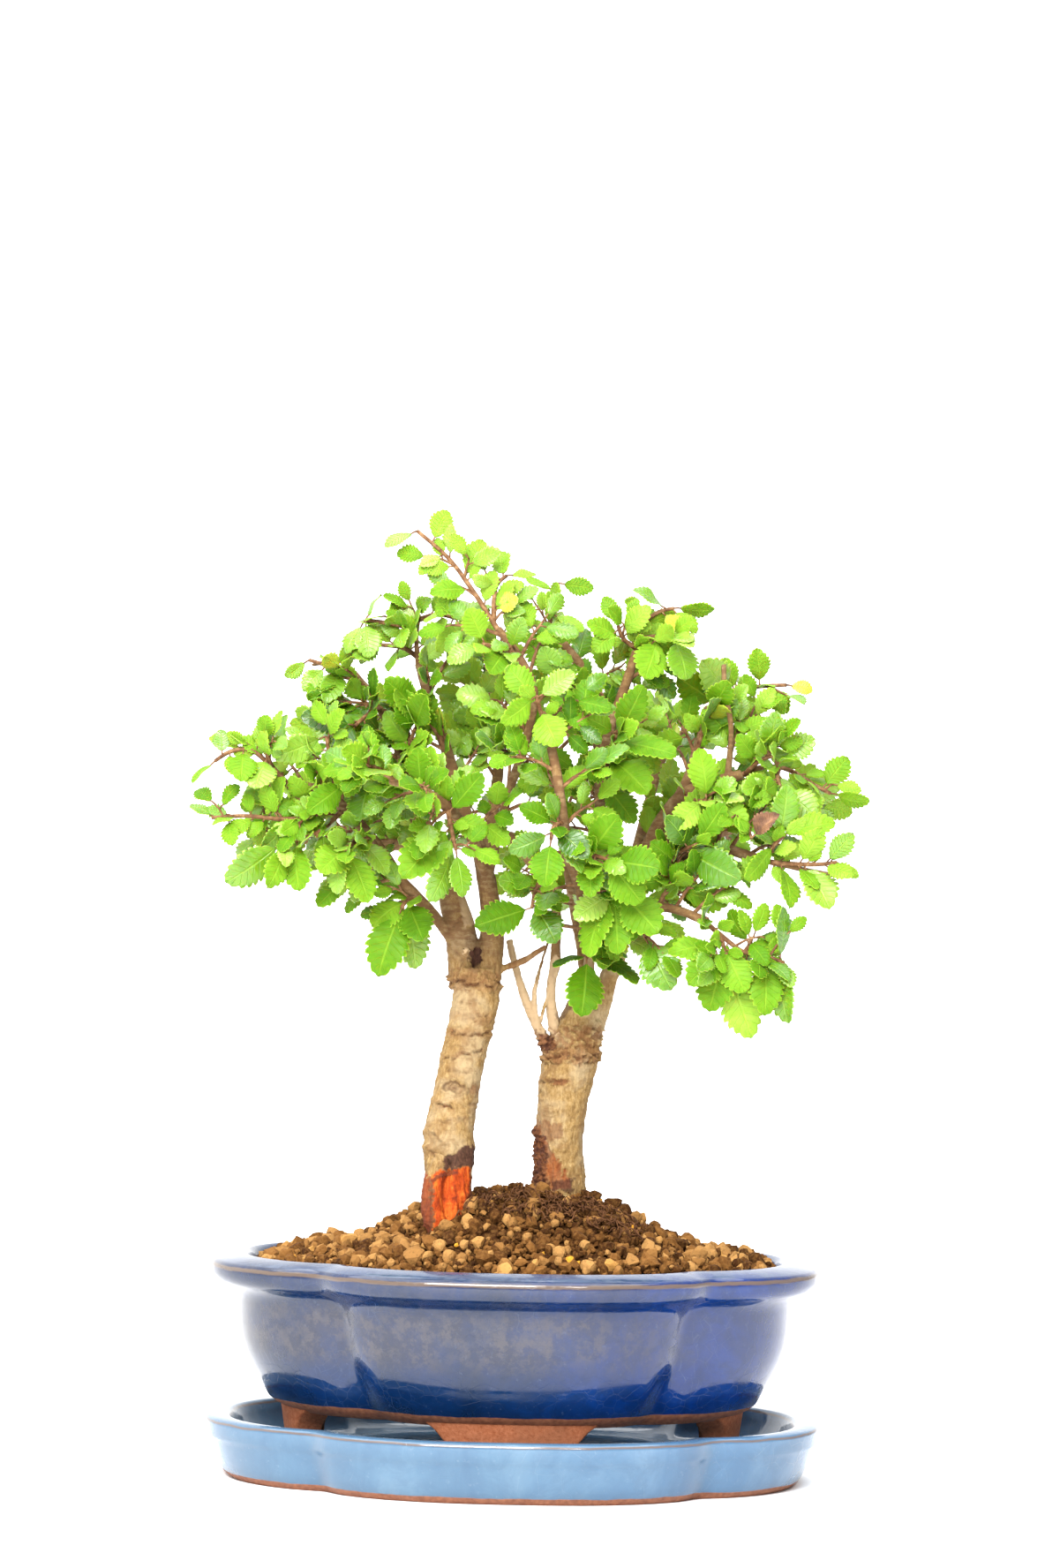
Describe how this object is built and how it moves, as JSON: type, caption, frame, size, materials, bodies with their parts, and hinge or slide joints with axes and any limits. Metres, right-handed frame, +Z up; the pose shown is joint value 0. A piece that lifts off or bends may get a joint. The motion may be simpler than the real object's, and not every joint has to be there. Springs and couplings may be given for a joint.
{
  "type": "bonsai tree",
  "caption": "Small two-trunk bonsai tree with toothed green leaves, planted in a blue glazed lobed pot on a matching drip tray.",
  "frame": {"origin": "middle of the drip tray's flat underside", "axes": "+Z up out of the pot, +X along the pot's long side to the right seen from the front, +Y to the back"},
  "size_m": [0.2771, 0.2177, 0.3972],
  "materials": {
    "tray_glaze": "light blue glazed stoneware, gloss",
    "pot_glaze": "deep cobalt glazed stoneware, gloss, bare terracotta feet",
    "screen_mesh": "black plastic mesh",
    "akadama": "loose baked clay granules, matte",
    "bark": "tan cracked bark, matte",
    "leaf_yellow_green": "yellow-green leaf, semi-gloss",
    "leaf_mid_green": "mid green leaf, semi-gloss",
    "leaf_bright_green": "bright green leaf, semi-gloss",
    "leaf_deep_green": "deep green leaf, semi-gloss"
  },
  "bodies": {
    "root": {"drip_tray": "tray_glaze", "pot": "pot_glaze", "drain_screen_left": "screen_mesh", "drain_screen_right": "screen_mesh", "soil": "akadama", "trunk_left": "bark", "trunk_right": "bark", "spray_leader": "leaf_yellow_green", "spray_top_left": "leaf_mid_green", "spray_crown_front": "leaf_bright_green", "spray_left_high": "leaf_deep_green", "spray_left_dark": "leaf_yellow_green", "spray_left_end": "leaf_mid_green", "spray_left_pale": "leaf_bright_green", "spray_left_low": "leaf_deep_green", "spray_left_bottom": "leaf_yellow_green", "spray_left_mid_low": "leaf_mid_green", "spray_left_fold": "leaf_bright_green", "spray_low_left": "leaf_deep_green", "spray_front_left": "leaf_yellow_green", "spray_mid_cluster": "leaf_mid_green", "spray_mid_dark": "leaf_bright_green", "spray_big_front": "leaf_deep_green", "spray_front_low": "leaf_yellow_green", "spray_front_mid": "leaf_mid_green", "spray_right_hang": "leaf_bright_green", "spray_right_inner": "leaf_deep_green", "spray_low_right": "leaf_yellow_green", "spray_right_fan": "leaf_mid_green", "spray_right_low": "leaf_bright_green", "spray_right_end": "leaf_deep_green", "spray_dead_leaf": "leaf_yellow_green", "spray_right_top": "leaf_mid_green", "spray_bright_right": "leaf_bright_green", "spray_top_right": "leaf_deep_green", "spray_top_mid": "leaf_yellow_green", "spray_mid_top": "leaf_mid_green", "spray_mid_front": "leaf_bright_green", "spray_front_top": "leaf_deep_green", "spray_back_1": "leaf_yellow_green", "spray_back_2": "leaf_mid_green", "spray_back_3": "leaf_bright_green", "spray_back_4": "leaf_deep_green", "spray_back_5": "leaf_yellow_green", "spray_back_6": "leaf_mid_green", "spray_back_7": "leaf_bright_green", "spray_back_8": "leaf_deep_green", "spray_back_9": "leaf_yellow_green", "spray_back_10": "leaf_mid_green", "spray_back_11": "leaf_bright_green", "spray_back_12": "leaf_deep_green", "spray_back_13": "leaf_yellow_green", "spray_back_14": "leaf_mid_green", "spray_back_15": "leaf_bright_green", "spray_inner_1": "leaf_deep_green", "spray_inner_2": "leaf_yellow_green", "spray_inner_3": "leaf_mid_green", "spray_inner_4": "leaf_bright_green", "spray_inner_5": "leaf_deep_green", "spray_inner_6": "leaf_yellow_green"}
  },
  "joints": []
}
